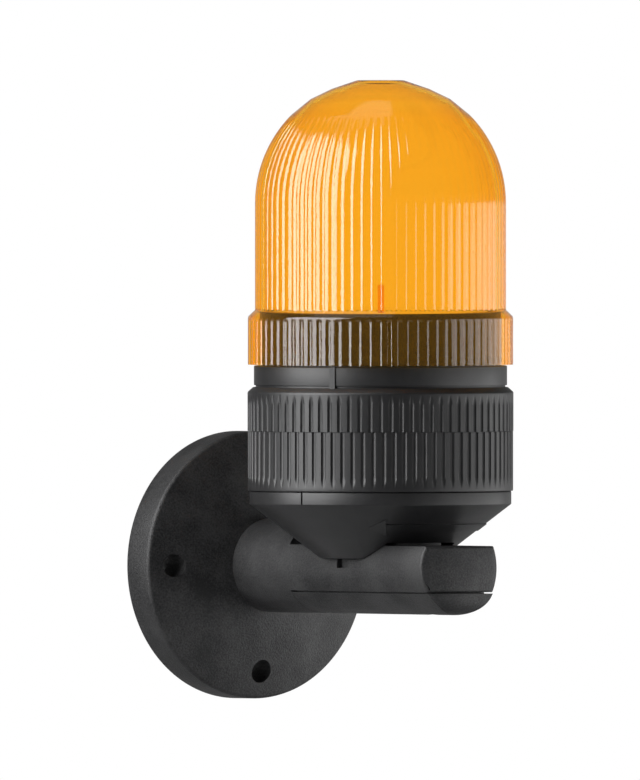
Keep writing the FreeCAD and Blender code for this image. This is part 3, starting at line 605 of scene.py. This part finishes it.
head_azimuth = (arrow_tip_azimuth + arrow_barb_azimuth) / 2
head_turn = side_angle(head_azimuth)
head_length = math.radians(arrow_barb_azimuth - arrow_tip_azimuth) * cone_r(arrow_z)
head_tangent = Vector((-math.sin(head_turn), math.cos(head_turn), 0))
head_normal = Vector((math.cos(head_turn), math.sin(head_turn), -cone_slope)).normalized()
head_up = head_normal.cross(head_tangent)
head_place = Matrix((head_tangent, head_up, head_normal)).transposed()
arrow_head = start("arrow_head", bpy.ops.mesh.primitive_cube_add, size=1,
                   location=beacon_side(head_azimuth)(*off_cone(arrow_z, arrow_proud - past)),
                   rotation=head_place.to_euler(),
                   scale=(head_length, arrow_head_height * cone_tilt, 2 * past))
tip_middle = beacon_side(head_azimuth)(*off_cone(arrow_z, 0)) - head_tangent * head_length / 2
edit(arrow_head)
select_vertices(arrow_head, lambda spot: (spot - tip_middle).dot(head_tangent) < head_length / 2)
bpy.ops.transform.resize(value=(0, 0, 0), orient_matrix=head_place, orient_type="GLOBAL",
                         orient_matrix_type="GLOBAL", constraint_axis=(False, True, False),
                         center_override=tip_middle)
bpy.ops.mesh.select_all(action="SELECT")
bpy.ops.mesh.remove_doubles(threshold=TOUCH)
bpy.ops.object.mode_set(mode="OBJECT")
carve(foot, arrow_head, "UNION")
fit(foot, housing_black, "housing", "housing_black", "base_foot")

# Terminal set: the disc screwed into the foot, its grey block of screw terminals and the screws of both.
# The disc is black plastic, the block grey polyamide, the screws zinc-plated steel and the pins brass.
# A rubber ring seals the module that plugs in above it.
terminal_grey = finish("terminal_grey", (0.30, 0.31, 0.31), (0.38, 0.39, 0.39), 0.5, 0.3 * MM, 0.01 * MM)
contact_brass = finish("contact_brass", (0.62, 0.47, 0.20), (0.72, 0.57, 0.28), 0.28, 0.1 * MM, 0.003 * MM,
                       metallic=1.0)
paint(housing_black, "terminal_carrier")
paint(screw_steel, "foot_screws", "carrier_screws", "terminal_screws")
paint(terminal_grey, "terminal_block")
paint(contact_brass, "contact_pins")
paint(seal_rubber, "module_seal")

# Locking ring: the lower knurled row, a bayonet ring that turns on the foot's spigot.
# It is moulded in the same black plastic; its upright flutes open at the top and run out at the bottom.
flute_count = 80
flute_columns = 16
flute_pitch = math.tau / flute_count
flute_r = 0.8 * MM
flute_depth = 0.45 * MM
flute_margin = 1.2 * MM
run_out = 3.0 * MM
run_out_levels = 6
ring_low, ring_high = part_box("lock_ring")
ring_r = ring_high.x
ring_in_r = 34.3 * MM
ring_start = 2.0


def levels(low, high, count):
    """Even steps from one value to another."""
    return [low + (high - low) * i / count for i in range(count + 1)]


def flute_sector(name, outline, start_angle, segments=4):
    """One flute's share of a round wall, with the flute along its middle."""
    first = math.degrees(flute_pitch / 2) + start_angle
    return lathe(name, outline, beacon_side(90 + first), flute_columns, flute_pitch, segments)


def press_flute(sector, start_angle, radius, wanted, depth, hollow_r=flute_r, centre_z=None):
    """Press a round hollow of a depth into the wanted places of a sector, column by column."""
    edit(sector)
    for column in range(flute_columns // 2):
        def in_column(spot):
            turn = (math.atan2(spot.y - beacon_y, spot.x) - math.radians(start_angle)) / flute_pitch
            return abs(round((turn - round(turn)) * flute_columns)) == column and wanted(spot)

        offset = column / flute_columns * flute_pitch * radius
        sink = math.sqrt(max(hollow_r ** 2 - offset ** 2, 0)) - hollow_r + depth
        if sink > 0:
            shrink = 1 - sink / radius
            select_vertices(sector, in_column)
            bpy.ops.transform.resize(value=(shrink, shrink, shrink if centre_z else 1),
                                     center_override=(0, beacon_y, centre_z or 0))
    bpy.ops.object.mode_set(mode="OBJECT")


def close_round(sector):
    """Repeat a sector right round the beacon and join the copies into one closed wall."""
    repeat_round(sector, flute_count, up_the_beacon)
    edit(sector)
    close_mesh()


def near(radius, height):
    """Test for the places at one radius from the beacon axis and at one height."""
    return lambda spot: (abs(math.hypot(spot.x, spot.y - beacon_y) - radius) < TOUCH
                         and abs(spot.z - height) < TOUCH)


ring_flute_low = ring_low.z + flute_margin
ring_levels = levels(ring_flute_low, ring_flute_low + run_out, run_out_levels)
lock_ring = flute_sector("lock_ring_knurl", [
    (ring_in_r, ring_low.z), (ring_r, ring_low.z, edge_round)] + [(ring_r, z) for z in ring_levels] + [
    (ring_r, ring_high.z), (ring_in_r, ring_high.z), (ring_in_r, ring_low.z)], ring_start)
for step, z in enumerate(ring_levels):
    press_flute(lock_ring, ring_start, ring_r, near(ring_r, z), flute_depth * step / run_out_levels)
press_flute(lock_ring, ring_start, ring_r, near(ring_r, ring_high.z), flute_depth)
close_round(lock_ring)
fit(lock_ring, housing_black, "locking_ring", "housing_black", "lock_ring")

# Sounder housing: the upper knurled row, a cup that holds the sounder and its board.
# Its flutes open at the bottom and run out below the chamfer, and its deck closes it under the neck.
sounder_low, sounder_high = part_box("sounder_housing")
sounder_r = sounder_high.x
sounder_z = 38.42 * MM
sounder_top = 50.75 * MM
chamfer_height = 1.4 * MM
chamfer_width = 1.55 * MM
lip_width = 0.45 * MM
sounder_deck = 50.3 * MM
sounder_start = 0.6
module_in_r = 30.5 * MM
module_floor = 32.6 * MM
deck_z = 47.1 * MM
slot_r = sounder_r - chamfer_width - lip_width
sounder_flute_high = sounder_top - chamfer_height - flute_margin / 2
sounder_levels = levels(sounder_flute_high - run_out, sounder_flute_high, run_out_levels)
sounder = flute_sector("sounder_housing_knurl", [
    (spigot_in_r, sounder_low.z), (spigot_r, sounder_low.z), (spigot_r, sounder_z), (sounder_r, sounder_z)]
    + [(sounder_r, z) for z in sounder_levels] + [
    (sounder_r, sounder_top - chamfer_height, edge_round),
    (sounder_r - chamfer_width, sounder_top, fine_round), (slot_r, sounder_top), (slot_r, sounder_deck),
    (0, sounder_deck), (0, deck_z), (module_in_r, deck_z), (module_in_r, module_floor),
    (spigot_in_r, module_floor), (spigot_in_r, sounder_low.z)], sounder_start)
press_flute(sounder, sounder_start, sounder_r, near(sounder_r, sounder_z), flute_depth)
for step, z in enumerate(sounder_levels):
    tip_depth = flute_depth * (1 - step / run_out_levels)
    press_flute(sounder, sounder_start, sounder_r, near(sounder_r, z), tip_depth)
close_round(sounder)
fit(sounder, housing_black, "housing", "housing_black", "sounder_housing")

# Sounder module: the cover, the green control board with its parts, and the brass disc that sounds.
# All of it sits inside the housing, held by three long screws from below.
board_green = finish("board_green", (0.010, 0.075, 0.030), (0.015, 0.110, 0.045), 0.35, 0.5 * MM,
                     0.005 * MM)
capacitor_blue = finish("capacitor_blue", (0.010, 0.020, 0.070), (0.015, 0.030, 0.100), 0.3, 0.3 * MM,
                        0.003 * MM)
chip_black = finish("chip_black", (0.015, 0.015, 0.016), (0.025, 0.025, 0.026), 0.55, 0.1 * MM, 0.006 * MM)
piezo_white = finish("piezo_white", (0.70, 0.68, 0.62), (0.78, 0.76, 0.70), 0.45, 0.2 * MM, 0.003 * MM)
paint(housing_black, "module_cover", "piezo_clamp")
paint(screw_steel, "module_screws", "light_screws")
paint(board_green, "control_board")
paint(capacitor_blue, "capacitors")
paint(chip_black, "driver_chips")
paint(contact_brass, "piezo_plate", "link_pins")
paint(piezo_white, "piezo_ceramic")

# Light base: the plain neck over the sound slot, and the skirt inside the lens collar.
# It is moulded in black plastic, with an upright rib on the neck and a baffle with ports in the slot.
neck_r = 35.7 * MM
neck_z = 51.3 * MM
neck_top = 56.8 * MM
skirt_r = 34.1 * MM
skirt_in_r = 31.1 * MM
skirt_top = 71.6 * MM
baffle_r = 35.2 * MM
baffle_wall = 3.1 * MM
port_width = 4.0 * MM
port_count = 12
neck_rib_width = 1.6 * MM
neck_rib_proud = 0.5 * MM
neck_rib_drop = 0.2 * MM
neck_rib_setback = 0.1 * MM
neck_rib_azimuth = -57.6
light_floor = 53.8 * MM
seal_groove_low = 57.7 * MM
seal_groove_high = 59.5 * MM
seal_groove_r = 32.5 * MM
light_base = lathe("light_base_neck", [
    (0, neck_z), (neck_r, neck_z, fine_round), (neck_r, neck_top, edge_round), (skirt_r, neck_top),
    (skirt_r, seal_groove_low), (seal_groove_r, seal_groove_low), (seal_groove_r, seal_groove_high),
    (skirt_r, seal_groove_high), (skirt_r, skirt_top, edge_round),
    (skirt_in_r, skirt_top), (skirt_in_r, light_floor), (0, light_floor)], up_the_beacon, steps=256)
baffle_in_r = baffle_r - baffle_wall
baffle = lathe("sound_baffle", [
    (baffle_in_r, sounder_deck), (baffle_r, sounder_deck), (baffle_r, neck_z + past),
    (baffle_in_r, neck_z + past), (baffle_in_r, sounder_deck)], up_the_beacon, steps=256)
ports = side_box("sound_ports", 90, baffle_r - 2 * baffle_wall, baffle_r + baffle_wall, port_width,
                 sounder_deck - past, sounder_top)
carve(baffle, repeat_round(ports, port_count, up_the_beacon))
carve(light_base, baffle, "UNION")
neck_rib = side_box("neck_rib", neck_rib_azimuth, neck_r - neck_rib_proud, neck_r + neck_rib_proud,
                    neck_rib_width, sounder_top - neck_rib_drop, neck_top - neck_rib_setback)
carve(light_base, neck_rib, "UNION")
fit(light_base, housing_black, "housing", "housing_black", "light_base")

# Light board: the white board with its ring of amber chips, its screws, the lens seal and the frosted disc.
# The disc drops into the top of the skirt and spreads the light into the dome.
board_white = finish("board_white", (0.74, 0.74, 0.72), (0.80, 0.80, 0.78), 0.4, 0.5 * MM, 0.004 * MM)
led_amber = finish("led_amber", (0.80, 0.42, 0.06), (0.86, 0.50, 0.10), 0.3, 0.2 * MM, 0.003 * MM)
diffuser_clear = finish("diffuser_clear", (0.80, 0.79, 0.76), (0.86, 0.85, 0.82), 0.5, 0.3 * MM, 0.01 * MM)
paint(board_white, "led_board")
paint(screw_steel, "led_board_screws")
paint(led_amber, "leds")
paint(diffuser_clear, "diffuser_disc")
paint(seal_rubber, "lens_seal")

# Dome lens: clear amber polycarbonate with upright ribs, a smooth faceted cap and a fluted grip collar.
# It is moulded in one piece, and three lugs inside the collar hold it on the light base.
lens_low, lens_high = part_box("dome_lens")
collar_r = lens_high.x
collar_in_r = 34.4 * MM
collar_top = 70.6 * MM
shoulder_top = 72.5 * MM
lens_r = 35.4 * MM
lens_wall = 2.2 * MM
cap_wall = 1.3 * MM
dome_z = 102.6 * MM
cap_r = 25.1 * MM
cap_steps = ((19.7 * MM, 4.4 * MM), (13.7 * MM, 2.9 * MM), (6.6 * MM, 2.4 * MM))
rib_depth = 0.26 * MM
rib_hollow_r = 1.35 * MM
rib_stop = 0.6 * MM
grip_depth = 0.3 * MM
grip_hollow_r = 1.15 * MM
shoulder_round = 0.4 * MM
skirt_play = 0.3 * MM
dome_steps = 16
tip_levels = 4
lens_start = 0
lens_in_r = lens_r - lens_wall
lens_step = skirt_top + skirt_play
cap_angle = math.acos(cap_r / lens_r)
rib_end_angle = cap_angle - rib_stop / lens_r


def dome_corners(radius, turns):
    """Corners over the round of the dome at the given angles of rise."""
    return [(radius * math.cos(turn), dome_z + radius * math.sin(turn)) for turn in turns]


def cap_corners(edge_height, inset):
    """Corners up the facets of the cap to its middle."""
    corners = []
    height = edge_height
    for facet_r, rise in cap_steps:
        height += rise
        corners.append((facet_r - inset, height, edge_round))
    return corners + [(0, height)]


collar_flute_high = collar_top - flute_margin + flute_r
collar_levels = levels(collar_flute_high - flute_r, collar_flute_high, tip_levels)
collar_straight = collar_levels[0] - edge_round
rib_levels = (shoulder_top + edge_round, shoulder_top + 2 * edge_round)
outer_dome = dome_corners(lens_r, levels(0, rib_end_angle, dome_steps))
cap_edge = dome_corners(lens_r, [cap_angle])[0]
inner_dome = dome_corners(lens_in_r, levels(0, cap_angle, dome_steps))
lens = flute_sector("dome_lens_shell", [
    (collar_in_r, lens_step), (collar_in_r, lens_low.z), (collar_r, lens_low.z), (collar_r, collar_straight)]
    + [(collar_r, z) for z in collar_levels]
    + [(collar_r, collar_top, shoulder_round), (lens_r, shoulder_top)]
    + [(lens_r, z) for z in rib_levels] + outer_dome + [(*cap_edge, edge_round)]
    + cap_corners(cap_edge[1], 0) + cap_corners(cap_edge[1] - cap_wall, cap_wall / 3)[::-1]
    + inner_dome[::-1] + [(lens_in_r, lens_step), (collar_in_r, lens_step)], lens_start, segments=2)
for z in (lens_low.z, collar_straight):
    press_flute(lens, lens_start, collar_r, near(collar_r, z), grip_depth, grip_hollow_r)
for step, z in enumerate(collar_levels[:-1]):
    tip_depth = grip_depth * (1 - (step / tip_levels) ** 2)
    press_flute(lens, lens_start, collar_r, near(collar_r, z), tip_depth, grip_hollow_r)
for z in rib_levels:
    press_flute(lens, lens_start, lens_r, near(lens_r, z), rib_depth, rib_hollow_r)
for corner_r, corner_z in outer_dome[:-1]:
    press_flute(lens, lens_start, lens_r, near(corner_r, corner_z), rib_depth, rib_hollow_r, dome_z)
close_round(lens)


def amber(name, tint):
    """Clear amber plastic: tinted where light passes its faces, deeper where its path inside is longer.
    It hardly bends the light, and a clear coat gives it its reflections."""
    material, tree, shader = new_material(name)
    shader.inputs["Base Color"].default_value = (*tint, 1)
    shader.inputs["Transmission Weight"].default_value = 1.0
    shader.inputs["IOR"].default_value = 1.03
    shader.inputs["Coat Weight"].default_value = 0.85
    shader.inputs["Coat Roughness"].default_value = 0.09
    shader.inputs["Coat IOR"].default_value = 1.5
    relief = lay_grain(tree, shader, 3 * MM, 0.0004 * MM, (0.04, 0.08), 0.0)[1]
    absorb = add_node(tree, "ShaderNodeVolumeAbsorption", {"Color": (0.99, 0.8, 0.0, 1), "Density": 130})
    tree.links.new(relief.outputs["Normal"], shader.inputs["Coat Normal"])
    tree.links.new(absorb.outputs["Volume"], tree.nodes["Material Output"].inputs["Volume"])
    return material


lens_amber = amber("lens_amber", (0.99, 0.665, 0.14))
fit(lens, lens_amber, "lens", "lens_amber", "dome_lens")

# Lens mark: an upright bar inside the lens, which stands over the neck's rib when the lens is free.
# It is moulded on the inner wall in the same amber plastic, where the thicker stock looks deep orange.
mark_bar_azimuth = -35.2
mark_bar_width = 1.9 * MM
mark_bar_thick = 2.0 * MM
mark_bar_low = 72.0 * MM
mark_bar_high = 80.0 * MM
lens_mark = side_box("lens_mark_bar", mark_bar_azimuth, lens_in_r - mark_bar_thick, lens_in_r,
                     mark_bar_width, mark_bar_low, mark_bar_high)
round_edges(lens_mark, edge_round, lambda spot: True)
fit(lens_mark, amber("mark_amber", (0.99, 0.6, 0.15)), "lens", "lens_amber")

# Studio: a pale floor far below, a soft box on each side with a glint that only reflections show, a smaller
# glint overhead, and a white surround. Floor and surround look pale to the camera and through the lens.
# The camera looks level at the beacon from the side of its foot's slot, without perspective.
floor_drop = -300 * MM
floor_size = 6.0
pale_share = 0.75
pale_light = 0.9


def seen_plainly(tree, ray):
    """Mask of the rays that reach the camera straight or through the lens."""
    seen = add_node(tree, "ShaderNodeMath", operation="MAXIMUM")
    tree.links.new(ray.outputs["Is Camera Ray"], seen.inputs[0])
    tree.links.new(ray.outputs["Is Transmission Ray"], seen.inputs[1])
    return seen


floor = start("studio_floor", bpy.ops.mesh.primitive_plane_add, size=floor_size, location=(0, 0, floor_drop))
pale_floor = finish("pale_floor", (0.70, 0.70, 0.70), (0.74, 0.74, 0.74), 0.8, 20 * MM, 0.1 * MM)
floor_tree = pale_floor.node_tree
floor_seen = seen_plainly(floor_tree, add_node(floor_tree, "ShaderNodeLightPath"))
share = add_node(floor_tree, "ShaderNodeMath", {1: pale_share}, operation="MULTIPLY")
glow = add_node(floor_tree, "ShaderNodeEmission", {"Color": (pale_light, pale_light, pale_light, 1)})
mixed = add_node(floor_tree, "ShaderNodeMixShader")
floor_tree.links.new(floor_seen.outputs[0], share.inputs[0])
floor_tree.links.new(share.outputs[0], mixed.inputs["Fac"])
floor_tree.links.new(floor_tree.nodes["Principled BSDF"].outputs["BSDF"], mixed.inputs[1])
floor_tree.links.new(glow.outputs["Emission"], mixed.inputs[2])
floor_tree.links.new(mixed.outputs["Shader"], floor_tree.nodes["Material Output"].inputs["Surface"])
pale_floor.cycles.emission_sampling = "NONE"
floor.data.materials.append(pale_floor)

view_azimuth = math.radians(-35.4)
view_rise = math.radians(0.7)
pixel = 0.282 * MM
photo_height = 780
camera_aside = 23.78 * MM
camera_above = 49.2 * MM


def direction(azimuth, rise):
    """Direction at an azimuth, where 0 is away from the wall, and at a rise over the level."""
    return Vector((math.sin(azimuth) * math.cos(rise), -math.cos(azimuth) * math.cos(rise), math.sin(rise)))


toward_camera = direction(view_azimuth, view_rise)
camera_right = Vector((math.cos(view_azimuth), math.sin(view_azimuth), 0))
camera_up = toward_camera.cross(camera_right)
camera_data = bpy.data.cameras.new("photo_camera")
camera_data.type = "ORTHO"
camera_data.ortho_scale = photo_height * pixel
camera = bpy.data.objects.new("photo_camera", camera_data)
bpy.context.collection.objects.link(camera)
camera.location = camera_right * camera_aside + camera_up * camera_above + toward_camera
camera.rotation_euler = toward_camera.to_track_quat("Z", "Y").to_euler()
bpy.context.scene.camera = camera

beacon_middle = Vector((0, beacon_y, 70 * MM))


def softbox(name, left_angle, rise, width, height, power, mirrored_only=False):
    """Area light aimed at the beacon, placed by its angle to the left of the camera and its rise."""
    data = bpy.data.lights.new(name, "AREA")
    data.shape = "RECTANGLE"
    data.size = width
    data.size_y = height
    data.energy = power
    lamp = bpy.data.objects.new(name, data)
    bpy.context.collection.objects.link(lamp)
    away = direction(view_azimuth - math.radians(left_angle), math.radians(rise))
    lamp.location = beacon_middle + away
    lamp.rotation_euler = away.to_track_quat("Z", "Y").to_euler()
    lamp.visible_transmission = False
    lamp.visible_diffuse = not mirrored_only


softbox("left_softbox", left_angle=65, rise=25, width=1.0, height=1.2, power=12)
softbox("left_glint", left_angle=65, rise=22, width=1.0, height=1.2, power=27, mirrored_only=True)
softbox("right_softbox", left_angle=-95, rise=-22, width=1.6, height=0.9, power=12)
softbox("right_glint", left_angle=-95, rise=-22, width=1.6, height=0.9, power=41, mirrored_only=True)
softbox("top_glint", left_angle=90, rise=77, width=0.5, height=0.7, power=1.0, mirrored_only=True)

ambient = 0.17
behind_drop = 0.5
world = bpy.data.worlds.new("white_surround")
bpy.context.scene.world = world
world.use_nodes = True
sky = world.node_tree
background = sky.nodes["Background"]
background.inputs["Color"].default_value = (1, 1, 1, 1)
sky_ray = add_node(sky, "ShaderNodeLightPath")
sky_seen = seen_plainly(sky, sky_ray)
place = add_node(sky, "ShaderNodeTexCoord")
behind_way = (Vector((0, 0, -behind_drop)) - toward_camera).normalized()
behind = add_node(sky, "ShaderNodeVectorMath", {1: behind_way}, operation="DOT_PRODUCT")
mirrored = add_node(sky, "ShaderNodeMapRange",
                    {"From Min": 0.6, "From Max": 0.9, "To Min": 0.1, "To Max": 0.45})
unseen = add_node(sky, "ShaderNodeMix", {"A": ambient})
strength = add_node(sky, "ShaderNodeMix", {"B": 1.0})
sky.links.new(place.outputs["Generated"], behind.inputs[0])
sky.links.new(behind.outputs["Value"], mirrored.inputs["Value"])
sky.links.new(sky_ray.outputs["Is Glossy Ray"], unseen.inputs["Factor"])
sky.links.new(mirrored.outputs["Result"], unseen.inputs["B"])
sky.links.new(sky_seen.outputs[0], strength.inputs["Factor"])
sky.links.new(unseen.outputs["Result"], strength.inputs["A"])
sky.links.new(strength.outputs["Result"], background.inputs["Strength"])
bpy.context.scene.view_settings.view_transform = "Standard"
